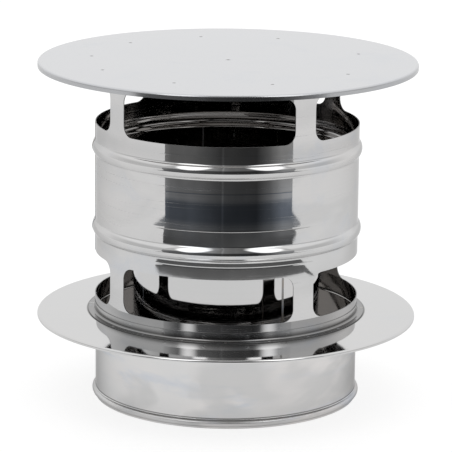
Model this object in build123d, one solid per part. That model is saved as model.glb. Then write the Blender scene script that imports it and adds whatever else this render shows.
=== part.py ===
from build123d import *
from math import atan, atan2, cos, degrees, sin
import os

# Chimney rain cap for a double-wall flue, all of stainless sheet, all welded.
# The axis is Z. The origin is the centre of the collar's foot, where the cap meets the flue.
# The windows face +X, -X, +Y and -Y, and the legs between them stand on the diagonals.

# Flue that the cap fits
flue_casing_radius = 90.0
flue_liner_socket_radius = 65.0
casing_clearance = 0.4
liner_clearance = 0.4

# Sheet and welds
sheet = 0.6
liner_sheet = 0.5
weld_width = 1.6
weld_proud = 0.15
spot_radius = 1.3

# Collar, from its foot to the underside of the deck
collar_height = 60.0
foot_bead_centre = 3.8
foot_bead_height = 6.2
foot_bead_proud = 2.15
foot_bead_root = 0.9

# Drum, from the deck up to the lid
foot_band = 11.6
window_height = 31.0
belt = 90.3
head_band = 10.9
leg_width = 16.5
window_corner = 8.0
belt_bead_inset = 17.1
belt_bead_height = 11.5
belt_bead_proud = 2.1
belt_bead_root = 2.2

# Lid and deck
lid_radius = 130.5
lid_lip = 3.9
deck_radius = 131.5
deck_lip = 2.3
deck_fall = 1.2
deck_hole_clearance = 0.2
lip_bend = 1.6
centre_mark_radius = 1.2
centre_mark_depth = 0.25

# Joining rings and the collar's turned-out top edge
ring_upstand = 6.2
ring_bend = 1.4
flange = 5.1
flange_bend = 0.8

# Inner tube and the brackets that hold it
tube_recess = 2.0
spigot_length = 46.0
stop_bead_height = 4.0
stop_bead_proud = 1.4
stop_bead_root = 0.8
bracket_sheet = 0.8
bracket_leg = 22.0
bracket_width = 14.0
bracket_bend = 1.8
bracket_drop = 2.0
spot_bite = 0.3

# Places round the axis, in degrees from +X towards +Y
leg_angles = [45, 135, 225, 315]
bracket_angles = [0, 90, 180, 270]
drum_seam = 194.5
ring_joint = 185.5
collar_seam = 91
tube_seam = 316.7
ring_spot_count = 20
deck_spot_start = 10
wall_spot_start = 1
lid_spot_angles = [27, 78, 112, 147, 184, 217, 258, 298, 338]

# Radii and heights that follow from the sizes above
collar_bore = flue_casing_radius + casing_clearance
drum_radius = collar_bore + sheet
tube_radius = flue_liner_socket_radius - liner_clearance
flange_radius = drum_radius + flange
deck_top = collar_height + sheet
window_foot = deck_top + foot_band
belt_foot = window_foot + window_height
belt_head = belt_foot + belt
window_head = belt_head + window_height
lid_under = window_head + head_band
lid_top = lid_under + sheet
stop_bead_centre = tube_recess + spigot_length + stop_bead_height / 2
bracket_top = belt_foot + belt / 2
tube_top = bracket_top + bracket_drop
bracket_foot = bracket_top - bracket_leg
wall_spot_rise = sheet + ring_bend + 1.2 * spot_radius
flange_spot_radius = (drum_radius + sheet + ring_bend + flange_radius) / 2


# Sections are drawn with radius across and height up, then turned about the axis.
def section(face_run, back_run):
    """Close the two surfaces of one sheet, each a run of edges, into a cross-section."""
    first = Line(face_run[0] @ 0, back_run[0] @ 0)
    last = Line(face_run[-1] @ 1, back_run[-1] @ 1)
    return make_face([*face_run, last, *back_run, first])


def turned(face, start=0.0, sweep=360.0):
    return Rot(0, 0, start) * revolve(Plane.XZ * face, Axis.Z, sweep)


def weld_angle(radius):
    return degrees(weld_width / radius)


def rolled_sheet(face, seam, radius):
    """A sheet rolled into a ring, with its two edges a weld's width apart."""
    gap = weld_angle(radius)
    return turned(face, seam + gap / 2, 360 - gap)


def seam_weld(face, seam, radius):
    gap = weld_angle(radius)
    return turned(face, seam - gap / 2, gap)


def bead(radius, centre, height, proud, root, depth):
    """Three arcs that swell a wall outward. Depth is the distance in from the outer surface."""
    lean = 2 * atan(2 * proud / height)
    crest = height / 2 / sin(lean) - root
    swing = degrees(lean)
    lower_root = CenterArc((radius + root, centre - height / 2), root + depth, 180, -swing)
    middle = CenterArc((radius + proud - crest, centre), crest - depth, -swing, 2 * swing)
    upper_root = CenterArc((radius + root, centre + height / 2), root + depth, 180 + swing, -swing)
    return [lower_root, middle, upper_root]


def wall(radius, foot, head, beads, depth):
    """One surface of an upright wall, with its beads from the lowest up."""
    across = radius - depth
    edges = []
    height = foot
    for centre, bead_height, proud, root in beads:
        edges.append(Line((across, height), (across, centre - bead_height / 2)))
        edges += bead(radius, centre, bead_height, proud, root, depth)
        height = centre + bead_height / 2
    edges.append(Line((across, height), (across, head)))
    return edges


# Spot welds. Each nugget fills the sheets that it joins.
def flat_spots(radius, angles, low, high):
    nugget = Cylinder(spot_radius, high - low, align=(Align.CENTER, Align.CENTER, Align.MIN))
    return [Rot(0, 0, angle) * Pos(radius, 0, low) * nugget for angle in angles]


def wall_spots(angles, height, inner, outer):
    tall = 4 * spot_radius
    sleeve = Pos(0, 0, height) * (Cylinder(outer, tall) - Cylinder(inner, tall))
    length = outer - inner + 2 * spot_radius
    nugget = Pos((outer + inner) / 2, 0, height) * Rot(0, 90, 0) * Cylinder(spot_radius, length)
    one = nugget & sleeve
    return [Rot(0, 0, angle) * one for angle in angles]


def even_angles(count, start):
    return [start + 360 / count * step for step in range(count)]


lid_spots = flat_spots(flange_spot_radius, lid_spot_angles, lid_under - sheet, lid_top)
deck_spots = flat_spots(
    flange_spot_radius,
    even_angles(ring_spot_count, deck_spot_start),
    collar_height - sheet,
    deck_top + sheet,
)
wall_angles = even_angles(ring_spot_count, wall_spot_start)
ring_inner = drum_radius - sheet
ring_outer = drum_radius + sheet
deck_wall_spots = wall_spots(wall_angles, deck_top + wall_spot_rise, ring_inner, ring_outer)
lid_wall_spots = wall_spots(wall_angles, lid_under - wall_spot_rise, ring_inner, ring_outer)
bracket_spot_height = bracket_foot + bracket_leg / 3
tube_spots = wall_spots(
    bracket_angles, bracket_spot_height, tube_radius - liner_sheet, tube_radius + bracket_sheet
)
# These stop inside the drum's wall, so the belt shows no mark.
drum_spots = wall_spots(
    bracket_angles,
    bracket_spot_height,
    drum_radius - sheet - bracket_sheet,
    drum_radius - sheet + spot_bite,
)


# Lid and deck: discs whose rims are turned down to a lip
def disc_surface(hole, level_to, radius, top, fall, lip, depth):
    centre = (radius - lip_bend, top - fall - lip_bend)
    bend = lip_bend - depth
    slope = atan2(fall, radius - lip_bend - level_to)
    edges = []
    if hole < level_to:
        edges.append(Line((hole, top - depth), (level_to, top - depth)))
    bend_start = (centre[0] + bend * sin(slope), centre[1] + bend * cos(slope))
    edges.append(Line((level_to, top - depth), bend_start))
    edges.append(CenterArc(centre, bend, 90 - degrees(slope), degrees(slope) - 90))
    edges.append(Line((radius - depth, centre[1]), (radius - depth, top - fall - lip)))
    return edges


def disc(hole, level_to, radius, top, fall, lip):
    surfaces = [disc_surface(hole, level_to, radius, top, fall, lip, depth) for depth in (0, sheet)]
    return turned(section(*surfaces))


lid = disc(0, 0, lid_radius, lid_top, 0, lid_lip)
centre_mark = Pos(0, 0, lid_top) * Cone(
    0, centre_mark_radius, centre_mark_depth, align=(Align.CENTER, Align.CENTER, Align.MAX)
)
lid = lid - centre_mark - lid_spots

deck_hole = collar_bore + deck_hole_clearance
deck = disc(deck_hole, flange_radius + sheet, deck_radius, deck_top, deck_fall, deck_lip)
deck = deck - deck_spots


# Drum: one sheet, punched with eight windows, rolled, welded and beaded
def drum_section(proud):
    beads = [
        (belt_foot + belt_bead_inset, belt_bead_height, belt_bead_proud, belt_bead_root),
        (belt_head - belt_bead_inset, belt_bead_height, belt_bead_proud, belt_bead_root),
    ]
    face_run = wall(drum_radius, deck_top, lid_under, beads, -proud)
    back_run = wall(drum_radius, deck_top, lid_under, beads, sheet)
    return section(face_run, back_run)


leg_half_angle = degrees(leg_width / 2 / drum_radius)
window_sweep = 90 - 2 * leg_half_angle
punch_depth = 6 * sheet


def window_punches():
    blank = Pos(drum_radius, window_height / 2) * Rectangle(punch_depth, window_height)
    punches = []
    for foot in (window_foot, belt_head):
        for leg in leg_angles:
            punches.append(Pos(0, 0, foot) * turned(blank, leg + leg_half_angle, window_sweep))
    return punches


def is_window_corner(edge):
    """Corner edges run straight through the sheet, towards the axis."""
    start, end = edge @ 0, edge @ 1
    level = abs(start.Z - end.Z) < sheet / 10
    side = min(abs(start.Z - z) for z in (window_foot, belt_foot, belt_head, window_head))
    turn = degrees(atan2(start.Y, start.X)) % 90 - 45
    beside_leg = abs(abs(turn) - leg_half_angle) < leg_half_angle / 10
    return level and side < sheet / 10 and beside_leg and edge.length < 2 * sheet


punches = window_punches()
drum_shell = rolled_sheet(drum_section(0), drum_seam, drum_radius) - punches
corners = drum_shell.edges().filter_by(is_window_corner)
print("window corners:", len(corners))
drum_shell = fillet(corners, min(window_corner, window_height / 2 - sheet))
drum_shell = drum_shell - deck_wall_spots - lid_wall_spots - drum_spots


# Joining rings: an upstand round the drum and a flange on the disc
def ring_section():
    centre = (drum_radius + sheet + ring_bend, deck_top + sheet + ring_bend)
    surfaces = []
    for depth in (0, sheet):
        upstand = (drum_radius + sheet - depth, deck_top + ring_upstand)
        bend = CenterArc(centre, ring_bend + depth, 180, 90)
        edge = (flange_radius, deck_top + sheet - depth)
        surfaces.append([Line(upstand, bend @ 0), bend, Line(bend @ 1, edge)])
    return section(*surfaces)


def under_lid(shape):
    """Turn a piece that stands on the deck over, to hang it from the lid."""
    return Pos(0, 0, lid_under + deck_top) * mirror(shape, Plane.XY)


plain_ring = rolled_sheet(ring_section(), ring_joint, flange_radius)
deck_ring_joint = seam_weld(ring_section(), ring_joint, flange_radius)
deck_ring = plain_ring - deck_spots - deck_wall_spots
lid_ring = under_lid(plain_ring) - lid_spots - lid_wall_spots
lid_ring_joint = under_lid(deck_ring_joint)

# The drum's seam weld is dressed flush where the two rings close round it.
drum_seam_weld = seam_weld(drum_section(weld_proud), drum_seam, drum_radius) - punches
drum_seam_weld = drum_seam_weld - plain_ring - under_lid(plain_ring)


# Collar: rolled bead at the foot, top edge turned out under the deck
def collar_surface(depth):
    centre = (drum_radius + flange_bend, collar_height - sheet - flange_bend)
    foot_bead = (foot_bead_centre, foot_bead_height, foot_bead_proud, foot_bead_root)
    edges = wall(drum_radius, 0, centre[1], [foot_bead], depth)
    bend = CenterArc(centre, flange_bend + depth, 180, -90)
    edge = (flange_radius, collar_height - sheet + depth)
    return [*edges, bend, Line(bend @ 1, edge)]


collar_section = section(collar_surface(0), collar_surface(sheet))
collar = rolled_sheet(collar_section, collar_seam, drum_radius) - deck_spots
collar_seam_weld = seam_weld(
    section(collar_surface(-weld_proud), collar_surface(sheet)), collar_seam, drum_radius
)


# Inner tube: a stop bead marks how far the flue's liner slides up over it
def tube_section(proud):
    stop_bead = (stop_bead_centre, stop_bead_height, stop_bead_proud, stop_bead_root)
    face_run = wall(tube_radius, tube_recess, tube_top, [stop_bead], -proud)
    back_run = wall(tube_radius, tube_recess, tube_top, [stop_bead], liner_sheet)
    return section(face_run, back_run)


spigot_zone = Cylinder(
    tube_radius + stop_bead_proud,
    tube_recess + spigot_length,
    align=(Align.CENTER, Align.CENTER, Align.MIN),
) - Cylinder(tube_radius, 3 * collar_height)
inner_tube = rolled_sheet(tube_section(0), tube_seam, tube_radius) - tube_spots
# Below the stop bead the weld is dressed flush, so that the liner slides on.
tube_seam_weld = seam_weld(tube_section(weld_proud), tube_seam, tube_radius) - spigot_zone


# Brackets: four bent strips across the gap between tube and drum
def bracket_surface(depth):
    inner = tube_radius + depth
    outer = drum_radius - sheet - depth
    bend = bracket_bend - depth
    shoulder = bracket_top - bracket_bend
    near = CenterArc((tube_radius + bracket_bend, shoulder), bend, 180, -90)
    far = CenterArc((drum_radius - sheet - bracket_bend, shoulder), bend, 90, -90)
    rise = Line((inner, bracket_foot), near @ 0)
    drop = Line(far @ 1, (outer, bracket_foot))
    return [rise, near, Line(near @ 1, far @ 0), far, drop]


bracket_section = section(bracket_surface(0), bracket_surface(bracket_sheet))
bracket_sweep = degrees(bracket_width / ((tube_radius + drum_radius) / 2))


def tube_bracket(angle):
    strip = turned(bracket_section, angle - bracket_sweep / 2, bracket_sweep)
    return strip - tube_spots - drum_spots


nodes = {
    "lid": lid,
    "lid_spot_welds": Compound(lid_spots),
    "lid_ring": lid_ring,
    "lid_ring_joint": lid_ring_joint,
    "lid_ring_wall_welds": Compound(lid_wall_spots),
    "drum_shell": drum_shell,
    "drum_seam_weld": drum_seam_weld,
    "deck_ring": deck_ring,
    "deck_ring_joint": deck_ring_joint,
    "deck_ring_wall_welds": Compound(deck_wall_spots),
    "deck": deck,
    "deck_spot_welds": Compound(deck_spots),
    "collar": collar,
    "collar_seam_weld": collar_seam_weld,
    "inner_tube": inner_tube,
    "tube_seam_weld": tube_seam_weld,
    "bracket_tube_welds": Compound(tube_spots),
    "bracket_drum_welds": Compound(drum_spots),
}
for number, angle in enumerate(bracket_angles, start=1):
    nodes[f"tube_bracket_{number}"] = tube_bracket(angle)

os.makedirs("parts", exist_ok=True)
for name, shape in nodes.items():
    export_step(shape, f"parts/{name}.step")
    print(name, len(shape.solids()), "solids", round(shape.volume, 1), "mm3")
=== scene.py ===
# %% [markdown]
# # A chimney rain cap in bright stainless sheet
#
# The real object is a cap for a double-wall flue. A sheet-metal shop punches flat sheets, rolls them
# into rings, runs beads into them with a bead roller and spot-welds them together. What a picture of
# it shows is nearly all reflection, so this script spends its effort on three things: surfaces whose
# normals are exact, a finish with the marks of rolling and handling, and a studio for it to mirror.
#
# The CAD model comes first and is never moved. Every piece below rides on its one body.

# %% Load the CAD model
import math

import bpy
from mathutils import Matrix, Vector


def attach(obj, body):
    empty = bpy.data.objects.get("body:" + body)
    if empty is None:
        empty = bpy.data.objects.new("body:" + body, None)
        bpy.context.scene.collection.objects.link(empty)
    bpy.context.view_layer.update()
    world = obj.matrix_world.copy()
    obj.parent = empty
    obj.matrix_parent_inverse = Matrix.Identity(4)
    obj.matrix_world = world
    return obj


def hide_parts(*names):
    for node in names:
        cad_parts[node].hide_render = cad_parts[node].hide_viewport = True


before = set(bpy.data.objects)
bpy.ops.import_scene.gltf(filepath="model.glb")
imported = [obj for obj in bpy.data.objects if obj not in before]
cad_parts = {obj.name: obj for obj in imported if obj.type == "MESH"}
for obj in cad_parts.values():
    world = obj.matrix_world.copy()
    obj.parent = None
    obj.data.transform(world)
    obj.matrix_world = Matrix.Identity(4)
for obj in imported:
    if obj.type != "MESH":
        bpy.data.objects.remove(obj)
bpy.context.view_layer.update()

# %% [markdown]
# ## Camera
#
# A product photographer stands well back with a long lens, so that the circles stay calm ellipses.
# Here the camera stands two metres away, turned ten degrees round the object, and looks down at it by
# thirteen degrees. Its place was found by matching the tips of the discs and beads. It comes before
# the metal because the studio is laid out from the direction in which the camera stands.

# %% Camera
MM = 0.001
CAMERA_TURN = math.radians(10.0)
CAMERA_DISTANCE = 2013.7
CAMERA_HEIGHT = 597.0
CAMERA_PITCH = math.radians(13.356)
CAMERA_ROLL = math.radians(0.554)
CAMERA_YAW = math.radians(-0.012)
CLIP_NEAR, CLIP_FAR = 0.05, 60.0
FOCAL_PIXELS = 2981.64
PHOTO_PIXELS = 452
SENSOR = 36.0


def toward_camera(front, side=0.0, height=0.0):
    """A place in metres, given in mm towards the camera, to its right and up from the floor."""
    s, c = math.sin(CAMERA_TURN), math.cos(CAMERA_TURN)
    return Vector((front * s + side * c, -front * c + side * s, height)) * MM


def add_camera():
    data = bpy.data.cameras.new("camera")
    data.sensor_width = SENSOR
    data.lens = FOCAL_PIXELS / PHOTO_PIXELS * SENSOR
    data.clip_start = CLIP_NEAR
    data.clip_end = CLIP_FAR
    camera = bpy.data.objects.new("camera", data)
    bpy.context.scene.collection.objects.link(camera)
    turn = Matrix.Rotation(CAMERA_TURN - CAMERA_YAW, 4, "Z")
    tip = Matrix.Rotation(math.pi / 2 - CAMERA_PITCH, 4, "X")
    roll = Matrix.Rotation(CAMERA_ROLL, 4, "Z")
    place = Matrix.Translation(toward_camera(CAMERA_DISTANCE, 0, CAMERA_HEIGHT))
    camera.matrix_world = place @ turn @ tip @ roll
    bpy.context.scene.camera = camera
    return camera


camera = add_camera()
bpy.context.scene.view_settings.view_transform = "Standard"
print("camera at", [round(v, 4) for v in camera.matrix_world.translation])
print("lens", round(camera.data.lens, 1), "mm")

# %% [markdown]
# ## Sizes
#
# The imported frame holds meshes and no sizes, so the ones that several pieces share are repeated here,
# in mm. They come before the finishes, because shade is painted where two sheets meet. The pressed marks
# of the spot welds stand a twentieth of a millimetre proud. The lid's face is lower by as much, so that
# the cap ends at its true height.

# %% Sizes that the pieces share
SHEET = 0.6
LINER_SHEET = 0.5
WELD_WIDTH = 1.6
DRUM_RADIUS = 91.0
TUBE_RADIUS = 64.6
LID_RADIUS = 130.5
DECK_RADIUS = 131.5
FLANGE_RADIUS = 96.1
FLANGE_BEND = 0.8
RING_BEND = 1.4
FOOT_BEAD_TOP = 6.9
DECK_UNDER = 60.0
DECK_TOP = DECK_UNDER + SHEET
LOWER_BEAD = 120.3
UPPER_BEAD = 176.4
LID_UNDER = 235.4
LID_TOP = LID_UNDER + SHEET
MARK_PROUD = 0.05
LID_FACE = LID_TOP - MARK_PROUD

print("the deck's top is at", DECK_TOP, "mm, the lid's at", LID_TOP, "mm")

# %% [markdown]
# ## Writing shader maths as expressions
#
# A finish is a sum of a few patterns: fine roll lines, cloudy smudges, a slow drift of tone. Wiring
# each Math node by hand hides that. `Wire` wraps one socket, so that `0.06 + 0.1 * smudge` adds the
# nodes by itself.

# %% Wires
class Wire:
    """One output of a shader node, with the operators that a finish uses."""

    def __init__(self, finish, socket):
        self.finish = finish
        self.socket = socket

    def maths(self, operation, first, second):
        return self.finish.node("ShaderNodeMath", {"operation": operation}, {0: first, 1: second})

    def __add__(self, other):
        return self.maths("ADD", self, other)

    def __sub__(self, other):
        return self.maths("SUBTRACT", self, other)

    def __rsub__(self, other):
        return self.maths("SUBTRACT", other, self)

    def __mul__(self, other):
        return self.maths("MULTIPLY", self, other)

    __radd__ = __add__
    __rmul__ = __mul__


# %% [markdown]
# A `Finish` is a material under construction. Every node comes from its method `node`, which takes
# the node's type, its settings, the values or wires of its sockets, and which output to hand back.
# Colours go through Mix, because a Math node would turn them grey. A Mix node has several sockets of
# one name, so its colour sockets are picked by number. The other methods are the patterns that several
# finishes share. The studio's surroundings use the same class.

# %% Finishes under construction
MIX_FACTOR, MIX_FIRST, MIX_SECOND, MIX_RESULT = 0, 6, 7, 2


class Finish:
    """A material, or a world, under construction."""

    def __init__(self, name, library="materials", output="ShaderNodeOutputMaterial"):
        self.owner = getattr(bpy.data, library).new(name)
        self.owner.use_nodes = True
        self.tree = self.owner.node_tree
        self.tree.nodes.clear()
        self.output = self.tree.nodes.new(output)

    def node(self, kind, settings=None, sockets=None, output=0):
        made = self.tree.nodes.new(kind)
        for key, value in (settings or {}).items():
            if key == "stops":
                ramp = made.color_ramp
                while len(ramp.elements) < len(value):
                    ramp.elements.new(1.0)
                for element, (position, colour) in zip(ramp.elements, value):
                    element.position = position
                    element.color = (*colour, 1.0)
            else:
                setattr(made, key, value)
        for key, value in (sockets or {}).items():
            if isinstance(value, Wire):
                self.tree.links.new(value.socket, made.inputs[key])
            else:
                made.inputs[key].default_value = value
        return Wire(self, made.outputs[output])

    def place(self, stretch):
        """Coordinates in metres on the piece, stretched along each axis."""
        where = self.node("ShaderNodeTexCoord", output="Object")
        return self.node("ShaderNodeVectorMath", {"operation": "MULTIPLY"}, {0: where, 1: stretch})

    def height(self):
        """Height over the piece's origin in metres."""
        where = self.node("ShaderNodeTexCoord", output="Object")
        return self.node("ShaderNodeSeparateXYZ", None, {0: where}, output="Z")

    def reach(self):
        """Distance from the piece's own upright axis in metres."""
        flat = self.place((1.0, 1.0, 0.0))
        return self.node("ShaderNodeVectorMath", {"operation": "LENGTH"}, {0: flat}, output="Value")

    def along(self, way):
        """Metres along a direction."""
        where = self.node("ShaderNodeTexCoord", output="Object")
        return self.node("ShaderNodeVectorMath", {"operation": "DOT_PRODUCT"}, {
            0: where, 1: way}, output="Value")

    def noise(self, stretch, detail=3.0, rough=0.55, distortion=0.0):
        return self.node("ShaderNodeTexNoise", {"noise_dimensions": "3D"}, {
            "Vector": self.place(stretch),
            "Scale": 1.0,
            "Detail": detail,
            "Roughness": rough,
            "Distortion": distortion,
        })

    def mottle(self, stretch):
        """About 0.7 to 1.3, cloud by cloud."""
        return 0.7 + 0.6 * self.noise(stretch)

    def between(self, value, low, high):
        """0 up to low, 1 from high on, and a soft step between them."""
        return self.node("ShaderNodeMapRange", {"interpolation_type": "SMOOTHSTEP"}, {
            "Value": value,
            "From Min": low,
            "From Max": high,
        })

    def close_to(self, value, level, width, strength):
        """Strength where a value in metres is at a level in mm, and nothing from a width away."""
        away = self.node("ShaderNodeMath", {"operation": "ABSOLUTE"}, {0: value - level * MM})
        return strength - strength * self.between(away, 0.0, width * MM)

    def mix(self, factor, first, second):
        first, second = (c if isinstance(c, Wire) else (*c, 1.0) for c in (first, second))
        return self.node("ShaderNodeMix", {"data_type": "RGBA"}, {
            MIX_FACTOR: factor, MIX_FIRST: first, MIX_SECOND: second}, output=MIX_RESULT)

    def scaled(self, colour, amount):
        """A colour made lighter or darker by a wire."""
        return self.node("ShaderNodeVectorMath", {"operation": "SCALE"}, {0: colour, "Scale": amount})

    def bump(self, height, depth, below=None):
        """Depth is in metres. Below is the bump that this one lies on."""
        sockets = {"Strength": 1.0, "Distance": depth, "Height": height}
        if below:
            sockets["Normal"] = below
        return self.node("ShaderNodeBump", None, sockets)

    def principled(self, sockets):
        return self.surface(self.node("ShaderNodeBsdfPrincipled", None, sockets, output="BSDF"))

    def surface(self, shader):
        self.tree.links.new(shader.socket, self.output.inputs["Surface"])
        print("finish", self.owner.name, "with", len(self.tree.nodes), "nodes")
        return self.owner


# %% [markdown]
# ## Stainless sheet
#
# Bright annealed stainless is rolled between polished rolls, so it mirrors almost like glass. What
# tells it from chrome is the rolling: hair lines that all run one way, soft waves across them, and
# smudges from hands and protective film. The lines run round a rolled ring and straight across a
# disc, which is only a matter of how the noise is stretched. Bump gives the waves, so reflections
# bend a little, and roughness gives the smudges, so reflections fog a little.

# %% Stainless sheet
STEEL = (0.664, 0.664, 0.664)
STEEL_WARM = (0.710, 0.690, 0.680)
STEEL_COOL = (0.575, 0.605, 0.660)
SHADE_AND_GRIME = (0.060, 0.058, 0.055)
DULLED = 0.80
HAIR_TINT = 0.16
WAVE_DEPTH = 0.00002
HAIR_DEPTH = 0.0000012
PATCHES = (9.0, 9.0, 13.0)
WATER_MARKS = (12.0, 12.0, 24.0)
SCRATCH_STRETCH = (0.8, 0.8, 1.6)
SMUDGE_EDGE, DRIFT_EDGE = (0.50, 0.74), (0.35, 0.65)
WATER_EDGE, SCRATCH_EDGE = (0.47, 0.62), (0.60, 0.72)
SMUDGE_FOG, HAIR_FOG = 0.6, 0.2
LIP_SATIN, LIP_SATIN_STEP = 0.07, 0.8
FOOT_SATIN, FOOT_SATIN_STEP = 0.24, 0.6


def stainless(name, lines, waves, shine, fog, tone=(1.0, 1.0, 1.0), dark_bands=(), dark_rings=(),
              satin_from=None, satin_below=None, edge_on=0.80, clouds=(26.0, 26.0, 34.0), cloudy=0.55,
              scratched=0.0, stained=0.0):
    """Lines and waves are how far the hair lines and the slow waves are stretched along X, Y and Z.

    Shine is the roughness of clean metal, and fog is how much smudges add to it. A dark band is (height,
    width, strength), all but the last in mm: a level where the colour is painted darker, in most places
    as painted shade in a corner, groove or gap. A dark ring is the same with a radius. Satin_from is the
    radius in mm beyond which a disc's lip has lost its polish, and satin_below the height up to which a
    foot has. Edge_on is how bright the sheet stays where it is seen at a glancing angle. Clouds is how far
    the smudges are stretched, and cloudy how much they and the slow drift tint the metal. Scratched is how
    much fine scratches along the lines scatter light, and stained is how dark the water marks are.
    """
    finish = Finish(name)
    hair = finish.noise(lines, detail=2.0, rough=0.6)
    wave = finish.noise(waves, detail=1.5, rough=0.45)
    cloud = finish.noise(clouds, detail=4.0, rough=0.6, distortion=0.6)
    patch = finish.noise(PATCHES, detail=2.0, rough=0.5)
    smudge = finish.between(cloud, *SMUDGE_EDGE)
    drift = finish.between(patch, *DRIFT_EDGE)
    warm, cool, plain = ([t * c for t, c in zip(tone, steel)] for steel in (STEEL_WARM, STEEL_COOL, STEEL))
    dull = [DULLED * c for c in plain]
    colour = finish.mix(drift * cloudy, plain, warm)
    colour = finish.mix(smudge * cloudy, colour, cool)
    colour = finish.mix(hair * HAIR_TINT, colour, dull)
    if stained:
        water = finish.noise(WATER_MARKS, detail=3.0, rough=0.55, distortion=0.5)
        colour = finish.mix(stained * finish.between(water, *WATER_EDGE), colour, dull)
    # Painted shade: dark bands and dark rings mix a near-black colour into the metal at given heights and
    # radii.
    for crease in dark_bands:
        colour = finish.mix(finish.close_to(finish.height(), *crease), colour, SHADE_AND_GRIME)
    for crease in dark_rings:
        colour = finish.mix(finish.close_to(finish.reach(), *crease), colour, SHADE_AND_GRIME)
    roughness = shine + fog * smudge * SMUDGE_FOG + fog * HAIR_FOG * hair
    if scratched:
        scratch_lines = [stretch * line for stretch, line in zip(SCRATCH_STRETCH, lines)]
        scratch = finish.between(finish.noise(scratch_lines), *SCRATCH_EDGE)
        roughness = roughness + scratched * scratch * drift
    if satin_from:
        beyond = finish.between(finish.reach(), (satin_from - LIP_SATIN_STEP) * MM, satin_from * MM)
        roughness = roughness + LIP_SATIN * beyond
    if satin_below:
        above = finish.between(finish.height(), satin_below * MM, (satin_below + FOOT_SATIN_STEP) * MM)
        roughness = roughness + FOOT_SATIN * (1.0 - above)
    return finish.principled({
        "Base Color": colour,
        "Metallic": 1.0,
        "Roughness": roughness,
        "Specular Tint": (edge_on, edge_on, edge_on, 1.0),
        "Normal": finish.bump(hair, HAIR_DEPTH, finish.bump(wave, WAVE_DEPTH)),
    })


# %% [markdown]
# Each sheet has had its own life. The drum is the brightest and has fine scratches from the bead
# roller. The collar was handled most, so it has water marks and a satin foot. The lid's rim lost some
# polish when its lip was turned, its lip is painted darker as shade, and its middle is dark in the dent
# of the compass point. The backs of all sheets are duller, because nobody wiped them, and are painted
# darker as shade. Painted shade also sits in the groove above the collar's foot bead, by the bends and
# at the flange edges of the joining rings, round the flange on the deck, at the deck's height and inside
# the beads. The collar's foot bead is a little darker low down, and the band above the drum's upper bead
# a trace darker.

# %% Finish of each sheet
ROUND_LINES = (9.0, 9.0, 1100.0)
ROUND_WAVES = (60.0, 60.0, 7.0)
DISC_LINES = (7.0, 900.0, 900.0)
DISC_WAVES = (18.0, 22.0, 18.0)
RING_SHADE_RISE, BAND_DARK_RISE = 2.0, 10.6

# The drum is a trace darker in a band above its upper bead.
drum_finish = stainless(
    "bright_drum", ROUND_LINES, ROUND_WAVES, shine=0.02, fog=0.08, edge_on=0.72, cloudy=0.5,
    dark_bands=[(UPPER_BEAD + BAND_DARK_RISE, 12.0, 0.12)], scratched=0.50, stained=0.35)
# Painted shade: a dark line in the groove above the foot bead. The foot bead is also a little darker low
# down.
collar_finish = stainless(
    "bright_collar", (9.0, 9.0, 700.0), (30.0, 30.0, 9.0), shine=0.09, fog=0.16, edge_on=0.55,
    tone=(1.11, 1.11, 1.11), clouds=(15.0, 15.0, 70.0), cloudy=1.0, stained=0.75,
    dark_bands=[(FOOT_BEAD_TOP + 0.2, 0.6, 0.85), (2.6, 4.5, 0.14)], satin_below=FOOT_BEAD_TOP)
tube_finish = stainless(
    "bright_tube", ROUND_LINES, ROUND_WAVES, shine=0.04, fog=0.08, edge_on=0.90, tone=(0.96, 0.96, 0.96))
# The lid's middle is dark in the dent of the compass point, and painted shade darkens its lip.
lid_finish = stainless(
    "bright_lid", DISC_LINES, DISC_WAVES, shine=0.10, fog=0.10, edge_on=0.93, cloudy=0.2,
    tone=(0.975, 0.99, 1.02), dark_rings=[(0.0, 2.6, 1.0), (LID_RADIUS + 0.1, 0.9, 0.28)],
    satin_from=LID_RADIUS - 0.9)
# Painted shade: a dark ring on the deck round the flange's edge, where the gap under the flange is.
deck_finish = stainless(
    "bright_deck", DISC_LINES, DISC_WAVES, shine=0.05, fog=0.06, edge_on=0.90, cloudy=0.2,
    dark_rings=[(FLANGE_RADIUS + 0.3, 1.0, 0.9)])
# Painted shade: the rings are darker towards their bends and at their flange's outer edge.
ring_finish = stainless(
    "bright_ring", ROUND_LINES, ROUND_WAVES, shine=0.10, fog=0.14, tone=(0.92, 0.92, 0.92),
    dark_bands=[(DECK_TOP + RING_SHADE_RISE, 3.6, 0.75), (LID_UNDER - RING_SHADE_RISE, 3.6, 0.75)],
    dark_rings=[(FLANGE_RADIUS, 0.5, 0.8)])
# Painted shade: the backs are a darker copy of the steel, near-black at the deck's height and darker inside
# the beads.
inside_finish = stainless(
    "dull_shaded_inside", (40.0, 40.0, 300.0), (60.0, 60.0, 20.0), shine=0.03, fog=0.18,
    tone=(0.69, 0.675, 0.66),
    dark_bands=[(DECK_UNDER + 0.2, 1.4, 0.95), (LOWER_BEAD, 8.0, 0.20), (UPPER_BEAD, 8.0, 0.20)])
# Painted shade: the lid's weld marks are a dark copy of the steel.
pressed_finish = stainless(
    "pressed_mark", (90.0, 90.0, 90.0), (60.0, 60.0, 60.0), shine=0.20, fog=0.20, tone=(0.42, 0.42, 0.42))

# %% [markdown]
# ## Cut edges
#
# Where the shears went through, the metal is torn rather than rolled: matt, darker than the faces,
# with fine scores across it. At the height of the deck, where sheets meet, the edges are painted
# near-black as shade in the joints.

# %% Cut edge
EDGE_DARK, EDGE_PALE = (0.16, 0.16, 0.16), (0.34, 0.34, 0.34)
SCORES = (1500.0, 1500.0, 400.0)
SCORE_DEPTH = 0.00002


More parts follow.
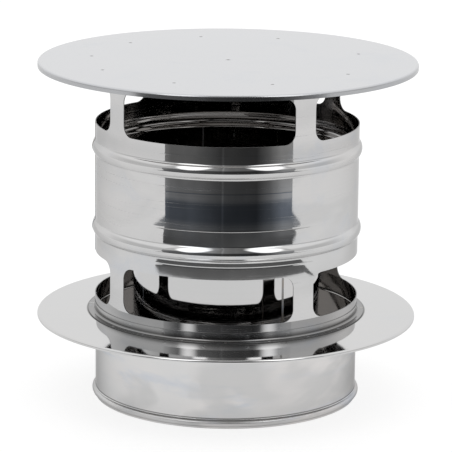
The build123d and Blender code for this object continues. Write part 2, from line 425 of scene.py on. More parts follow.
def cut_edge(name):
    finish = Finish(name)
    score = finish.noise(SCORES, detail=2.0)
    colour = finish.mix(score, EDGE_DARK, EDGE_PALE)
    # Painted shade: near-black on the edges at the deck's height, where sheets meet.
    colour = finish.mix(finish.close_to(finish.height(), DECK_UNDER + 0.3, 0.7, 0.95), colour, SHADE_AND_GRIME)
    return finish.principled({
        "Base Color": colour,
        "Metallic": 1.0,
        "Roughness": 0.30 + 0.15 * score,
        "Normal": finish.bump(score, SCORE_DEPTH),
    })


edge_finish = cut_edge("cut_edge")

# %% [markdown]
# ## Weld metal
#
# Where two sheets were fused, the metal froze with a rippled, matt skin, and the heat left a thin
# brown and blue film beside it. A ripple is a wave texture along the seam, and the film is a mix of
# two tints by noise.

# %% Weld metal
WELD_BROWN, WELD_BLUE = (0.50, 0.47, 0.43), (0.44, 0.47, 0.52)
WELD_SCALE = (0.30, 0.29, 0.28)
RIPPLES = 260.0
GRIT = (700.0, 700.0, 700.0)
FILM = (60.0, 60.0, 60.0)
RIPPLE_DEPTH = 0.00006


def weld_metal(name):
    finish = Finish(name)
    ripple = finish.node("ShaderNodeTexWave", {"wave_type": "BANDS", "bands_direction": "Z"}, {
        "Vector": finish.place((1.0, 1.0, 1.0)),
        "Scale": RIPPLES,
        "Distortion": 1.5,
    }, output="Fac")
    grit = finish.noise(GRIT)
    tint = finish.between(finish.noise(FILM), 0.4, 0.6)
    colour = finish.mix(tint, WELD_BROWN, WELD_BLUE)
    colour = finish.mix(grit * 0.3, colour, WELD_SCALE)
    return finish.principled({
        "Base Color": colour,
        "Metallic": 1.0,
        "Roughness": 0.26 + 0.18 * grit,
        "Normal": finish.bump(ripple + grit * 0.5, RIPPLE_DEPTH),
    })


weld_finish = weld_metal("weld_metal")

# %% [markdown]
# ## Sheet that has been rolled round an axis
#
# Every ring, wall and disc of this object is one sheet turned about the flue's axis. Blender could
# spin a profile with its Screw modifier, but then it averages normals over flat and curved faces, and
# a mirror shows that as a bulge. So a profile is a list of stations, each with its exact slope. A
# station's lean is the angle by which its face looks up, so a wall leans by 0 and a disc's top by a
# quarter turn.

# %% Profile of a sheet
UP = math.pi / 2
DOWN = -math.pi / 2
ROOT_STEPS, CREST_STEPS = 7, 16


class Station:
    """A point on a sheet's outer face: radius and height in mm, and the way the face looks."""

    def __init__(self, radius, height, lean):
        self.radius = radius
        self.height = height
        self.lean = lean

    def point(self, depth, angle):
        across = self.radius - depth * math.cos(self.lean)
        up = self.height - depth * math.sin(self.lean)
        return Vector((across * math.cos(angle), across * math.sin(angle), up)) * MM

    def normal(self, angle):
        flat = math.cos(self.lean)
        return Vector((flat * math.cos(angle), flat * math.sin(angle), math.sin(self.lean)))


def straight(start, end, lean, count):
    """Stations from start to end, both (radius, height), without the last one."""
    stations = []
    for step in range(count):
        t = step / count
        across = start[0] + t * (end[0] - start[0])
        up = start[1] + t * (end[1] - start[1])
        stations.append(Station(across, up, lean))
    return stations


def arc(centre, radius, lean_from, lean_to, count, hollow=False):
    """Stations round a bend. A hollow bend has its centre on the outer side."""
    sign = -1.0 if hollow else 1.0
    stations = []
    for step in range(count + 1):
        lean = lean_from + (lean_to - lean_from) * step / count
        across = centre[0] + sign * radius * math.cos(lean)
        up = centre[1] + sign * radius * math.sin(lean)
        stations.append(Station(across, up, lean))
    return stations


def bead(radius, centre, height, proud, root):
    """The swell that a bead roller leaves: a hollow arc, a full one and a hollow one."""
    lean = 2 * math.atan(2 * proud / height)
    crest = height / 2 / math.sin(lean) - root
    low = arc((radius + root, centre - height / 2), root, 0.0, -lean, ROOT_STEPS, hollow=True)
    middle = arc((radius + proud - crest, centre), crest, -lean, lean, CREST_STEPS)
    high = arc((radius + root, centre + height / 2), root, lean, 0.0, ROOT_STEPS, hollow=True)
    return low + middle[1:-1] + high


BELT_BEAD = {"height": 11.5, "proud": 2.1, "root": 2.2}
print("a bead has", len(bead(DRUM_RADIUS, LOWER_BEAD, **BELT_BEAD)), "stations")

# %% [markdown]
# The columns of the grid are angles. A disc goes round without a break. A rolled ring stops a weld's
# width short of a full turn, and the seam weld of the CAD model fills that gap.

# %% Columns round the axis
TURN = 2 * math.pi
COLUMNS = 360


def evenly(start, end, count):
    return [start + (end - start) * step / count for step in range(count + 1)]


def full_turn():
    angles = evenly(0.0, TURN, COLUMNS)
    return lambda row: angles


def with_seam(seam, radius):
    """The two edges of a rolled sheet stop a weld's width apart."""
    gap = WELD_WIDTH / radius
    angles = evenly(math.radians(seam) + gap / 2, math.radians(seam) - gap / 2 + TURN, COLUMNS)
    return lambda row: angles


print("a column is", 360 / COLUMNS, "degrees wide")

# %% [markdown]
# The sheet itself is a grid of stations and columns. Its back is the same grid moved in by the
# thickness, and a rim closes every open edge. The normals are written into the mesh, so that a flat
# face mirrors like a flat one up to the very bend. Each sheet carries three materials: its own finish
# outside, the dull one inside, which is painted darker as shade, and the cut edge on its rims.

# %% Grid of a rolled sheet
OUTSIDE, INSIDE, RIM = 0, 1, 2


def add_piece(name, mesh, replaced):
    """A visible piece that stands in for one CAD node."""
    piece = bpy.data.objects.new(name, mesh)
    bpy.context.scene.collection.objects.link(piece)
    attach(piece, "root")
    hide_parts(replaced)
    print(name, "has", len(mesh.polygons), "faces and replaces", replaced)


def rolled_sheet(name, stations, columns, thickness, finish, replaced, keep=None):
    """Columns gives the angles of one row, and keep tells which cells of the grid are metal.

    A column list that ends a full turn after its start closes on itself.
    """
    rows = [columns(row) for row in range(len(stations))]
    across = len(rows[0])
    closed = math.isclose(rows[0][-1] - rows[0][0], TURN)
    points, normals, number = [], [], {}

    def corner(i, j, side):
        if closed and j == across - 1:
            j = 0
        if stations[i].radius == 0.0:
            j = 0
        key = (i, j, side)
        if key not in number:
            number[key] = len(points)
            points.append(stations[i].point(thickness * side, rows[i][j]))
            normals.append(stations[i].normal(rows[i][j]) * (1 - 2 * side))
        return number[key]

    def kept(i, j):
        if closed:
            j %= across - 1
        on_sheet = 0 <= i < len(stations) - 1 and 0 <= j < across - 1
        return on_sheet and (keep is None or keep(i, j))

    faces, looks, parts = [], [], []
    for i in range(len(stations) - 1):
        for j in range(across - 1):
            if not kept(i, j):
                continue
            ring = [(i, j), (i, j + 1), (i + 1, j + 1), (i + 1, j)]
            for side in (OUTSIDE, INSIDE):
                run = [corner(*spot, side) for spot in (ring if side == OUTSIDE else ring[::-1])]
                run = [v for k, v in enumerate(run) if v != run[k - 1]]
                faces.append(run)
                looks.append([normals[v] for v in run])
                parts.append(side)
            edges = [(ring[0], ring[1], i - 1, j), (ring[1], ring[2], i, j + 1),
                     (ring[2], ring[3], i + 1, j), (ring[3], ring[0], i, j - 1)]
            for start, end, beside_i, beside_j in edges:
                at_centre = stations[start[0]].radius == stations[end[0]].radius == 0.0
                if kept(beside_i, beside_j) or at_centre:
                    continue
                run = [corner(*spot, side) for spot, side in (
                    (end, OUTSIDE), (start, OUTSIDE), (start, INSIDE), (end, INSIDE))]
                a, b, c = (points[v] for v in run[:3])
                faces.append(run)
                looks.append([(b - a).cross(c - b).normalized()] * 4)
                parts.append(RIM)
    mesh = bpy.data.meshes.new(name)
    mesh.from_pydata(points, [], faces)
    mesh.polygons.foreach_set("use_smooth", [True] * len(faces))
    mesh.normals_split_custom_set([look for run in looks for look in run])
    for material in (finish, inside_finish, edge_finish):
        mesh.materials.append(material)
    mesh.polygons.foreach_set("material_index", parts)
    add_piece(name, mesh, replaced)


# %% [markdown]
# ## Collar
#
# The collar slides over the flue's casing. Its foot is stiffened by a bead, and its top edge is turned
# out under the wide disc, where the spot welds go through it. The profile runs from the foot upwards.

# %% Collar
COLLAR_SEAM = 91.0
FOOT_BEAD = {"centre": 3.8, "height": 6.2, "proud": 2.15, "root": 0.9}


def collar_profile():
    head = DECK_UNDER - SHEET
    shoulder = head - FLANGE_BEND
    stations = [Station(DRUM_RADIUS, 0.0, 0.0)] + bead(DRUM_RADIUS, **FOOT_BEAD)
    stations += straight((DRUM_RADIUS, FOOT_BEAD_TOP), (DRUM_RADIUS, shoulder), 0.0, 12)[1:]
    stations += arc((DRUM_RADIUS + FLANGE_BEND, shoulder), FLANGE_BEND, 0.0, DOWN, 6, hollow=True)
    stations.append(Station(FLANGE_RADIUS, head, DOWN))
    return stations


rolled_sheet("collar_sheet", collar_profile(), with_seam(COLLAR_SEAM, DRUM_RADIUS), SHEET,
             collar_finish, "collar")

# %% [markdown]
# ## Lid and deck
#
# Both are flat discs with a lip turned down at the rim, which stiffens them and lets rain drip off.
# The lid keeps the small dent of the compass point in its middle. The lower one, the deck, has a hole
# for the drum and falls away slightly from the joining ring on, so that water runs outwards.

# %% Lid and deck
LIP_BEND = 1.6
LID_LIP = 3.9
LID_FLAT = 60.0
DECK_LIP = 2.3
DECK_HOLE = 90.6
DECK_FLAT = 96.7
DECK_FALL = 1.2
CENTRE_MARK = [(0.0, 0.25, 0.0), (0.3, 0.19, 0.2), (1.0, 0.03, 0.2), (1.25, 0.0, 0.0)]
CENTRE_MARK_END = 1.5


def disc_profile(hole, flat, radius, top, fall, lip):
    """From the hole or the middle, level as far as the radius flat, then over the rim and down the lip.

    The centre mark is a list of (radius, depth, lean beyond straight up).
    """
    centre = (radius - LIP_BEND, top - fall - LIP_BEND)
    slope = UP - math.atan2(fall, centre[0] - flat)
    stations = []
    start = hole
    if hole == 0.0:
        stations = [Station(across, top - depth, UP + lean) for across, depth, lean in CENTRE_MARK]
        start = CENTRE_MARK_END
    stations += straight((start, top), (flat, top), UP, 6)
    rim = (centre[0] + LIP_BEND * math.cos(slope), centre[1] + LIP_BEND * math.sin(slope))
    stations += straight((flat, top), rim, slope, 10)
    stations += arc(centre, LIP_BEND, slope, 0.0, 10)
    stations.append(Station(radius, top - fall - lip, 0.0))
    return stations[::-1]


rolled_sheet("lid_sheet", disc_profile(0.0, LID_FLAT, LID_RADIUS, LID_FACE, 0.0, LID_LIP - MARK_PROUD),
             full_turn(), SHEET - MARK_PROUD, lid_finish, "lid")
rolled_sheet("deck_sheet", disc_profile(DECK_HOLE, DECK_FLAT, DECK_RADIUS, DECK_TOP, DECK_FALL, DECK_LIP),
             full_turn(), SHEET, deck_finish, "deck")

# %% [markdown]
# ## Joining rings
#
# An L-shaped ring closes each end of the drum: its upstand is spot-welded to the wall and its flange
# to the disc. The upper ring is the lower one hung upside down.

# %% Joining rings
RING_UPSTAND = 6.2
RING_JOINT = 185.5


def ring_profile(base, way):
    """Way is 1 for a ring that stands on its flange and -1 for one that hangs from it."""
    bend_height = base + way * (SHEET + RING_BEND)
    centre = (DRUM_RADIUS + SHEET + RING_BEND, bend_height)
    edge = (DRUM_RADIUS + SHEET, base + way * RING_UPSTAND)
    stations = straight(edge, (edge[0], bend_height), 0.0, 3)
    stations += arc(centre, RING_BEND, 0.0, way * UP, 10, hollow=True)
    stations.append(Station(FLANGE_RADIUS, base + way * SHEET, way * UP))
    return stations[::-way]


for node, base, way in (("deck_ring", DECK_TOP, 1), ("lid_ring", LID_UNDER, -1)):
    rolled_sheet(node + "_sheet", ring_profile(base, way), with_seam(RING_JOINT, FLANGE_RADIUS), SHEET,
                 ring_finish, node)

# %% [markdown]
# ## Drum
#
# The drum is one sheet. Eight windows with round corners are punched in it, four high and four low,
# which leaves four narrow legs at each end. Then it is rolled, welded down the back and beaded twice.
# Its stations come first. The bead roller also left faint lines where its collars ran, and a mirror
# shows lines of a few hundredths of a millimetre.

# %% Heights of the drum
WINDOW_HEIGHT = 31.0
BELT = 90.3
LOWER_WINDOW = 72.2
UPPER_WINDOW = LOWER_WINDOW + WINDOW_HEIGHT + BELT
WINDOW_FEET = (LOWER_WINDOW, UPPER_WINDOW)
WINDOW_CORNER = 8.0
CORNER_STEPS = 8
BEAD_CLEAR = 0.05
LEAN_FROM, LEAN_TO, LEAN_OUT = 65.0, 84.0, 0.26
ROLL_LINES = [(111.4, -0.014, 0.5), (136.3, 0.030, 0.45), (162.0, 0.006, 0.45), (187.0, 0.010, 0.5)]


def roll_mark(height):
    """Radius gained at this height, and its slope, from the marks that the bead roller's collars leave.

    Under the lower windows the wall also leans out by a hair, where the ring was pressed on.
    """
    gain = slope = 0.0
    below = (height - LEAN_FROM) / (LOWER_WINDOW - LEAN_FROM)
    above = (LEAN_TO - height) / (LEAN_TO - LOWER_WINDOW)
    if 0 < below <= 1:
        gain, slope = LEAN_OUT * below, LEAN_OUT / (LOWER_WINDOW - LEAN_FROM)
    elif 0 < above < 1:
        gain, slope = LEAN_OUT * above, -LEAN_OUT / (LEAN_TO - LOWER_WINDOW)
    for centre, depth, width in ROLL_LINES:
        t = (height - centre) / width
        swell = depth * math.exp(-t * t)
        gain += swell
        slope -= 2 * t / width * swell
    return gain, slope


def wall_heights():
    heights = evenly(DECK_TOP, LOWER_WINDOW, 4)
    for foot in WINDOW_FEET:
        head = foot + WINDOW_HEIGHT
        rise = [WINDOW_CORNER * (1 - math.cos(UP * step / CORNER_STEPS)) for step in range(CORNER_STEPS + 1)]
        heights += [foot + h for h in rise] + [head - h for h in rise]
    heights += evenly(UPPER_WINDOW + WINDOW_HEIGHT, LID_UNDER, 3)
    heights += evenly(LOWER_WINDOW + WINDOW_HEIGHT, UPPER_WINDOW, 24)
    for centre, depth, width in ROLL_LINES:
        heights += [centre + width * step / 3 for step in range(-7, 8)]
    reach = BELT_BEAD["height"] / 2 + BEAD_CLEAR
    clear = [h for h in heights if all(abs(h - centre) >= reach for centre in (LOWER_BEAD, UPPER_BEAD))]
    return sorted(set(round(h, 4) for h in clear))


def drum_profile():
    stations = []
    for height in wall_heights():
        gain, slope = roll_mark(height)
        stations.append(Station(DRUM_RADIUS + gain, height, -math.atan(slope)))
    for centre in (LOWER_BEAD, UPPER_BEAD):
        stations += bead(DRUM_RADIUS, centre, **BELT_BEAD)
    return sorted(stations, key=lambda station: station.height)


drum_stations = drum_profile()
print("the drum has", len(drum_stations), "stations")

# %% [markdown]
# A Boolean could punch the windows, but its cuts leave ragged normals on a mirror. The grid does it
# cleanly: its columns follow the sides of the legs, row by row, and the cells that lie inside a
# window are left out.

# %% Drum
LEG_WIDTH = 16.5
LEG_ANGLES = [math.radians(angle) for angle in (45, 135, 225, 315)]
DRUM_SEAM = math.radians(194.5)
LEG_CELLS = 12
WINDOW_CELLS = 64


def flare(height):
    """How much a leg widens on each side, in mm, where it runs into a band through a round corner."""
    for foot in WINDOW_FEET:
        if foot < height < foot + WINDOW_HEIGHT:
            short = WINDOW_CORNER - min(height - foot, foot + WINDOW_HEIGHT - height)
            return WINDOW_CORNER - math.sqrt(WINDOW_CORNER ** 2 - short ** 2) if short > 0 else 0.0
    return WINDOW_CORNER


def drum_layout(height):
    """The columns of one row, as (kind of the cell that starts here, angle)."""
    half = (LEG_WIDTH / 2 + flare(height)) / DRUM_RADIUS
    gap = WELD_WIDTH / DRUM_RADIUS
    cells = []
    for leg in LEG_ANGLES:
        low, high = leg + half, leg + TURN / 4 - half
        count = WINDOW_CELLS
        cells += [("leg", angle) for angle in evenly(leg - half, low, LEG_CELLS)[:-1]]
        if low < DRUM_SEAM < high:
            count = WINDOW_CELLS // 2
            before = evenly(low, DRUM_SEAM - gap / 2, count)
            cells += [("window", angle) for angle in before[:-1]] + [("seam", before[-1])]
            low = DRUM_SEAM + gap / 2
        cells += [("window", angle) for angle in evenly(low, high, count)[:-1]]
    return cells + [("leg", cells[0][1] + TURN)]


def drum_row(row):
    return [angle for kind, angle in drum_layout(drum_stations[row].height)]


drum_kinds = [kind for kind, angle in drum_layout(DECK_TOP)]


def drum_keeps(i, j):
    middle = (drum_stations[i].height + drum_stations[i + 1].height) / 2
    in_window = any(foot < middle < foot + WINDOW_HEIGHT for foot in WINDOW_FEET)
    return drum_kinds[j] == "leg" or (drum_kinds[j] == "window" and not in_window)


rolled_sheet("drum_sheet", drum_stations, drum_row, SHEET,
             drum_finish, "drum_shell", drum_keeps)

# %% [markdown]
# ## Inner tube
#
# The tube carries the flue gas up into the drum. A small bead tells the fitter how far the liner slides
# on. Through the lower windows it mirrors the bright surroundings, the legs and the gap round it.

# %% Inner tube
TUBE_SEAM = 316.7
TUBE_FOOT = 2.0
TUBE_TOP = 150.35
STOP_BEAD = {"centre": 50.0, "height": 4.0, "proud": 1.4, "root": 0.8}


def tube_profile():
    below, above = (STOP_BEAD["centre"] + way * STOP_BEAD["height"] / 2 for way in (-1, 1))
    stations = straight((TUBE_RADIUS, TUBE_FOOT), (TUBE_RADIUS, below), 0.0, 6)
    stations += bead(TUBE_RADIUS, **STOP_BEAD)
    stations += straight((TUBE_RADIUS, above), (TUBE_RADIUS, TUBE_TOP), 0.0, 16)[1:]
    return stations + [Station(TUBE_RADIUS, TUBE_TOP, 0.0)]


rolled_sheet("tube_sheet", tube_profile(), with_seam(TUBE_SEAM, TUBE_RADIUS), LINER_SHEET,
             tube_finish, "inner_tube")

# %% [markdown]
# ## Spot welds
#
# An electrode squeezes the sheets together and leaves a dimple with a low rim, about two and a half
# millimetres wide. One small dish is made and set down at every weld, facing out of the sheet. Its
# rim stands just proud enough to catch the light.

# %% Dish of a spot weld
DISH_RINGS = [(1.34, -0.04), (1.22, 0.02), (1.02, MARK_PROUD), (0.78, 0.03), (0.40, 0.01)]
DISH_MIDDLE = 0.01
DISH_SIDES = 20


def dish_points(place, size):
    """Rings of points from the rim in, and one in the middle. A dish ring is (radius, height) in mm."""
    radius, height, degrees, lean = place
    angle = math.radians(degrees)
    base = Station(radius, height, lean)
    out = base.normal(angle)
    side = Vector((-math.sin(angle), math.cos(angle), 0.0))
    up = out.cross(side)
    points = []
    for ring, proud in DISH_RINGS:
        for step in range(DISH_SIDES):
            turn = TURN * step / DISH_SIDES
            spread = (side * math.cos(turn) + up * math.sin(turn)) * ring * size
            points.append(base.point(0.0, angle) + (spread + out * proud) * MM)
    points.append(base.point(0.0, angle) + out * DISH_MIDDLE * MM)
    return points


def dish_faces(first):
    """Faces of the dish whose points start at this number."""
    middle = first + len(DISH_RINGS) * DISH_SIDES
    faces = []
    for row in range(len(DISH_RINGS)):
        for step in range(DISH_SIDES):
            a = first + row * DISH_SIDES + step
            b = first + row * DISH_SIDES + (step + 1) % DISH_SIDES
            if row == len(DISH_RINGS) - 1:
                faces.append([b, middle, a])
            else:
                faces.append([b, b + DISH_SIDES, a + DISH_SIDES, a])
    return faces


print("a dish has", len(dish_faces(0)), "faces")

# %% [markdown]
# The lid is joined at nine places that were set by eye, and the rings at twenty, evenly. The marks on
# the lid are painted dark, as shade in pressed dents.

# %% Spot welds
FLANGE_SPOTS = (DRUM_RADIUS + SHEET + RING_BEND + FLANGE_RADIUS) / 2
WALL_SPOT_RISE = 3.56
RING_SPOTS = 20
LID_SPOT_ANGLES = (27, 78, 112, 147, 184, 217, 258, 298, 338)
DECK_SPOT_START, WALL_SPOT_START = 10, 1
DECK_MARK_SIZE = 0.8


def all_round(radius, height, start, lean):
    """Places are (radius, height, angle in degrees, lean) in mm and radians."""
    return [(radius, height, start + 360 / RING_SPOTS * step, lean) for step in range(RING_SPOTS)]


def spot_marks(name, places, replaced, finish, size=1.0):
    points, faces = [], []
    for place in places:
        faces += dish_faces(len(points))
        points += dish_points(place, size)
    mesh = bpy.data.meshes.new(name)
    mesh.from_pydata(points, [], faces)
    mesh.polygons.foreach_set("use_smooth", [True] * len(faces))
    mesh.materials.append(finish)
    add_piece(name, mesh, replaced)


spot_marks("lid_marks", [(FLANGE_SPOTS, LID_FACE, degrees, UP) for degrees in LID_SPOT_ANGLES],
           "lid_spot_welds", pressed_finish)
spot_marks("deck_marks", all_round(FLANGE_SPOTS, DECK_TOP + SHEET, DECK_SPOT_START, UP),
           "deck_spot_welds", weld_finish, DECK_MARK_SIZE)
for end, height in (("deck", DECK_TOP + WALL_SPOT_RISE), ("lid", LID_UNDER - WALL_SPOT_RISE)):
    spot_marks(end + "_wall_marks", all_round(DRUM_RADIUS + SHEET, height, WALL_SPOT_START, 0.0),
               end + "_ring_wall_welds", ring_finish)

# %% [markdown]
# ## CAD pieces that stay
#
# The seam welds, the ring joints and the brackets have the right shape already. They keep their CAD
# meshes and only get a finish, by assigning it to their material slots.

# %% Finishes on the CAD pieces
WELD_NODES = ["drum_seam_weld", "collar_seam_weld", "tube_seam_weld", "deck_ring_joint", "lid_ring_joint",
              "bracket_tube_welds", "bracket_drum_welds"]
BRACKETS = [f"tube_bracket_{number}" for number in (1, 2, 3, 4)]

for names, finish in ((WELD_NODES, weld_finish), (BRACKETS, tube_finish)):
    for node in names:
        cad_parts[node].data.materials[0] = finish
print("finish on", len(WELD_NODES), "welds and", len(BRACKETS), "brackets")

# %% [markdown]
# ## Studio
#
# A mirror shows its room, so the room is part of the look. This one is white all round, with a white
# floor. In front, where the photographer stands, the room is dark: that makes the dark band in the
# middle of the drum. Two oval softboxes stand left and right of the camera and give the bright spots
# on the beads. The floor comes first. Its paper takes the object's shadow, and a little glow, which
# only the camera and reflections see, makes it as white as paper under studio light.

# %% Floor
FLOOR_SIZE = 9.0
FLOOR_DROP = 0.0001
FLOOR_CORNERS = ((-1, -1), (1, -1), (1, 1), (-1, 1))
PAPER = (0.34, 0.34, 0.34, 1.0)
PAPER_SEEN = 0.76
PAPER_MIRRORED = 0.56


def add_mesh(name, points, faces, finish):
    mesh = bpy.data.meshes.new(name)
    mesh.from_pydata(points, [], faces)
    mesh.materials.append(finish)
    piece = bpy.data.objects.new(name, mesh)
    bpy.context.scene.collection.objects.link(piece)
    print(name, "has", len(points), "corners")
    return piece


def paper_finish(name):
    finish = Finish(name)
    seen = finish.node("ShaderNodeLightPath", output="Is Camera Ray")
    mirrored = finish.node("ShaderNodeLightPath", output="Is Glossy Ray")
    return finish.principled({
        "Base Color": PAPER,
        "Roughness": 0.9,
        "Emission Color": seen * PAPER_SEEN + mirrored * PAPER_MIRRORED,
        "Emission Strength": 1.0,
    })


floor_points = [(x * FLOOR_SIZE, y * FLOOR_SIZE, -FLOOR_DROP) for x, y in FLOOR_CORNERS]
add_mesh("floor", floor_points, [(0, 1, 2, 3)], paper_finish("paper_floor"))

# %% [markdown]
# The rest of the room is made of cards that only reflections can see, so the camera still sees a plain
# white background. A card only glows. How light the dark part of the room is depends on the direction
# in which it lies: it is darkest to the right of the camera, has a thin light gap just left of it, and
# gets lighter towards both side walls.

# %% Cards and the light round the room
ROOM_TURN = math.radians(60.0)
ROOM_LIGHT = 10.0
ROOM_TONES = [(-58, 8.0), (-47, 3.6), (-28, 3.4), (-4.6, 1.3), (-3.4, 2.3), (-2.2, 1.3),
              (24, 0.9), (36, 3.2), (46, 8.0), (58, 9.0)]
FRONT = tuple(toward_camera(1000.0))
SIDE = tuple(toward_camera(0.0, 1000.0))


def only_in_reflections(piece):
    piece.visible_camera = False
    piece.visible_diffuse = False
    piece.visible_shadow = False
    piece.visible_transmission = False
    return piece


def grey(level, blue=0.0):
    """Blue is the share of red that is taken away, and more than that goes to blue."""
    return (level * (1 - blue), level, level * (1 + 1.6 * blue))


def glow(finish, colour):
    return finish.principled({
        "Base Color": (0.0, 0.0, 0.0, 1.0),
        "Roughness": 1.0,
        "Specular IOR Level": 0.0,
        "Emission Color": colour,
        "Emission Strength": 1.0,
    })


def tone_ramp(finish, value, low, high, tones):
    """A colour ramp from low to high. Tones are (value, colour)."""
    share = finish.node("ShaderNodeMapRange", None, {"Value": value, "From Min": low, "From Max": high})
    stops = [((at - low) / (high - low), colour) for at, colour in tones]
    return finish.node("ShaderNodeValToRGB", {"stops": stops}, {"Fac": share}, output="Color")


def round_the_room(finish):
    """How much lighter the dark part of the room is, by the direction in which it lies."""
    side = finish.along(SIDE)
    angle = side.maths("ARCTAN2", side, finish.along(FRONT))
    tones = [(math.radians(way), grey(light / ROOM_LIGHT)) for way, light in ROOM_TONES]
    shade = tone_ramp(finish, angle, -ROOM_TURN, ROOM_TURN, tones)
    return ROOM_LIGHT * finish.node("ShaderNodeSeparateColor", None, {0: shade}, output="Red")


print("front is", [round(v, 3) for v in FRONT], "and side is", [round(v, 3) for v in SIDE])

# %% [markdown]
# Low on the drum the mirror shows the near edge of a dark floor card, which is round like the edge of
# a table, and higher up it shows places farther away. So the tones of the card, from near to far,
# become the tones of the drum from low to high. The edge's two ends are uneven, as a table with things
# on it would be, and the drum shows them as the small hooks beside its dark band.

# %% Dark floor card
CARD_NEAR, CARD_FAR = 0.4, 1.3
CARD_HEIGHT = 1.0
CARD_TONES = [(0.49, 0.16, 0.0), (0.55, 0.10, 0.0), (0.66, 0.06, 0.03), (0.69, 0.022, 0.12),
              (0.76, 0.020, 0.12), (0.77, 0.046, 0.03), (0.87, 0.040, 0.0), (1.30, 0.035, 0.0)]
FAR_FROM, FAR_TO = 0.60, 0.72
EDGE_LEFT = [(-543, 435), (-584, 302), (-511, 413), (-499, 380), (-474, 364), (-440, 262)]
EDGE_RIGHT = [(452, 112), (468, 215), (489, 350), (538, 321), (535, 372), (592, 298), (585, 414)]
EDGE_REACH = 487.0
EDGE_FROM, EDGE_TO = math.radians(-54.0), math.radians(66.0)
ROOM_FAR = 2600.0
LEFT_WAY, RIGHT_WAY = math.radians(-55.0), math.radians(58.0)


def dark_floor_finish(name):
    finish = Finish(name)
    reach = finish.reach()
    tones = [(at, grey(level, blue)) for at, level, blue in CARD_TONES]
    shade = tone_ramp(finish, reach, CARD_NEAR, CARD_FAR, tones)
    blotch = finish.mottle((5.0, 5.0, 5.0))
    far = finish.between(reach, FAR_FROM, FAR_TO)
    light = (1.0 - far) + far * round_the_room(finish)
    return glow(finish, finish.scaled(shade, light * blotch))


def far_point(angle, height=0.0, reach=ROOM_FAR):
    return toward_camera(reach * math.cos(angle), reach * math.sin(angle), height)


card_edge = [toward_camera(front, side, CARD_HEIGHT) for side, front in EDGE_LEFT]
card_edge += [far_point(angle, CARD_HEIGHT, EDGE_REACH) for angle in evenly(EDGE_FROM, EDGE_TO, 24)]
card_edge += [toward_camera(front, side, CARD_HEIGHT) for side, front in EDGE_RIGHT]
card_edge += [far_point(angle, CARD_HEIGHT) for angle in evenly(RIGHT_WAY, LEFT_WAY, 8)]
only_in_reflections(add_mesh("dark_floor", card_edge, [tuple(range(len(card_edge)))],
                             dark_floor_finish("dark_floor")))

# %% [markdown]
# A dark wall closes the room behind the camera. Its two ends are pale low down, where they meet the
# side walls. Those are pale grey and fade to white upwards and to the back. All three are bent cards,
# because a flat one would show its corners.

# %% Walls
CARD_TOP = 2300.0
DARK_TOP = 6500.0
WALL_STEPS = 24
WALL_LOW, WALL_HIGH = grey(0.035, 0.02), grey(0.16)
RISE_FROM, RISE_TO = 0.70, 0.95
END_GREY = grey(0.6)
END_FROM, END_TO = 1.45, 2.0
END_TOP = 1.2
SIDE_END = math.radians(140.0)
SIDE_GREY, SIDE_WHITE = grey(0.66), grey(1.0)
PALE_FROM, PALE_TO = 0.9, 1.9
BACK_FROM, BACK_TO = 0.2, -1.9


def wall_card(name, way_from, way_to, top, finish):
    points, faces = [], []
    for way in evenly(way_from, way_to, WALL_STEPS):
        points += [far_point(way), far_point(way, top)]
    for step in range(WALL_STEPS):
        faces.append((2 * step, 2 * step + 2, 2 * step + 3, 2 * step + 1))
    only_in_reflections(add_mesh(name, points, faces, finish))


def dark_wall_finish(name):
    finish = Finish(name)
    rise = finish.between(finish.height(), RISE_FROM, RISE_TO)
    streak = finish.mottle((3.0, 3.0, 0.6))
    colour = finish.scaled(finish.mix(rise, WALL_LOW, WALL_HIGH), round_the_room(finish) * streak)
    end = 1.0 - finish.between(finish.along(FRONT), END_FROM, END_TO)
    return glow(finish, finish.mix(end * finish.between(finish.height(), 0.0, END_TOP), colour, END_GREY))


def side_wall_finish(name):
    finish = Finish(name)
    up = finish.between(finish.height(), PALE_FROM, PALE_TO)
    back = finish.between(finish.along(FRONT), BACK_FROM, BACK_TO)
    return glow(finish, finish.mix(up + back - up * back, SIDE_GREY, SIDE_WHITE))


side_finish = side_wall_finish("side_wall")
wall_card("dark_wall", LEFT_WAY, RIGHT_WAY, DARK_TOP, dark_wall_finish("dark_wall"))
wall_card("left_wall", -SIDE_END, LEFT_WAY, CARD_TOP, side_finish)
wall_card("right_wall", RIGHT_WAY, SIDE_END, CARD_TOP, side_finish)

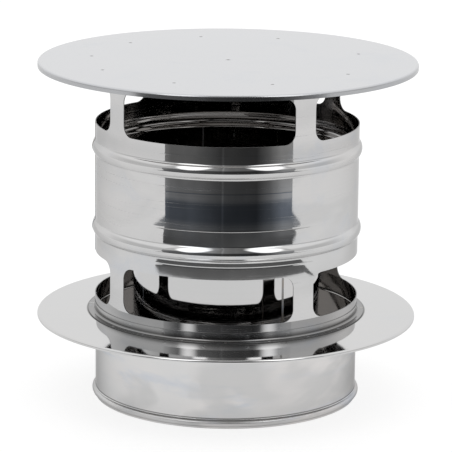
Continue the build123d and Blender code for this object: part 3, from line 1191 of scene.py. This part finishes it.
# %% [markdown]
# A softbox is brightest in the middle of its cloth and falls off towards the frame. Each is an oval
# card that fades out at its edge, so its picture in the steel has no hard outline.

# %% Softboxes
SOFTBOX_REACH = 2200.0
SOFTBOX_SIDES = 48
SOFTBOX_AIM = Vector((0.0, 0.0, 0.14))
CLOTH_RADIANCE = 1.8
WHITE = (1.0, 1.0, 1.0, 1.0)
FADE_FROM = 0.62


def softbox_finish(name):
    finish = Finish(name)
    cloth = finish.node("ShaderNodeEmission", None, {"Color": WHITE, "Strength": CLOTH_RADIANCE})
    clear = finish.node("ShaderNodeBsdfTransparent")
    fade = finish.between(finish.reach(), FADE_FROM, 1.0)
    return finish.surface(finish.node("ShaderNodeMixShader", None, {0: fade, 1: cloth, 2: clear}))


def add_softbox(name, side_degrees, up_degrees, half_width, half_height, finish):
    """Half width and half height are in degrees as seen from the object."""
    turns = [TURN * step / SOFTBOX_SIDES for step in range(SOFTBOX_SIDES)]
    rim = [(math.cos(turn), math.sin(turn), 0.0) for turn in turns]
    box = only_in_reflections(add_mesh(name, rim, [tuple(range(SOFTBOX_SIDES))], finish))
    side, up = math.radians(side_degrees), math.radians(up_degrees)
    box.location = far_point(side, SOFTBOX_REACH * math.sin(up), SOFTBOX_REACH * math.cos(up))
    box.rotation_euler = (SOFTBOX_AIM - box.location).to_track_quat("-Z", "Y").to_euler()
    halves = [SOFTBOX_REACH * MM * math.tan(math.radians(half)) for half in (half_width, half_height)]
    box.scale = halves + [1.0]


softbox = softbox_finish("softbox_cloth")
add_softbox("softbox_left", -32.0, 40.0, 14.0, 29.5, softbox)
add_softbox("softbox_right", 37.5, 40.0, 14.5, 29.5, softbox)

# %% [markdown]
# Everything else is a white surround. It lights matt things a little less than it shows in the steel,
# so that the floor doesn't burn out.

# %% Surroundings
DIFFUSE_LOSS = 0.15

studio = Finish("studio", "worlds", "ShaderNodeOutputWorld")
diffuse = studio.node("ShaderNodeLightPath", output="Is Diffuse Ray")
bpy.context.scene.world = studio.surface(studio.node("ShaderNodeBackground", None, {
    "Color": WHITE, "Strength": 1.0 - DIFFUSE_LOSS * diffuse}))
